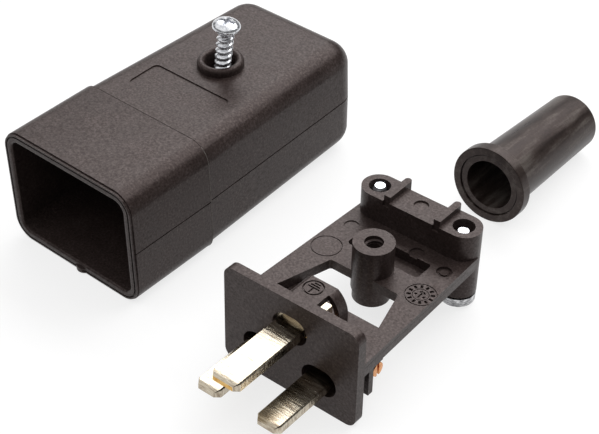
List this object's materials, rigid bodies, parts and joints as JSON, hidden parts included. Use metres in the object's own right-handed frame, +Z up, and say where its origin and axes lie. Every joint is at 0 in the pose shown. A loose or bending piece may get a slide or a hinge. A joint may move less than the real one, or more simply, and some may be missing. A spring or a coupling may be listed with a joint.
{
  "type": "iec power plug",
  "caption": "Rewireable flat-pin mains plug taken apart: open housing with its screw, insert with pins, earth hood and cord clamp, and a flanged rubber bend relief sleeve.",
  "frame": {"origin": "on the table plane, below the middle of the box round the whole layout", "axes": "+Z up from the table, +Y from the pins to the cord end, +X from the housing to the insert"},
  "size_m": [0.0828, 0.1087, 0.0356],
  "materials": {
    "plastic": "fine spark-eroded grain",
    "rubber": "satin",
    "nickel": "nickel plated, brushed",
    "zinc": "bright zinc",
    "copper": "bare"
  },
  "bodies": {
    "root": {"housing": "plastic", "housing_screw": "zinc", "insert_frame": "plastic", "earth_pin": "nickel", "left_pin": "nickel", "right_pin": "nickel", "terminal_screws": "copper", "cord_clamp": "plastic", "clamp_screws": "zinc", "relief_sleeve": "rubber"}
  },
  "joints": []
}
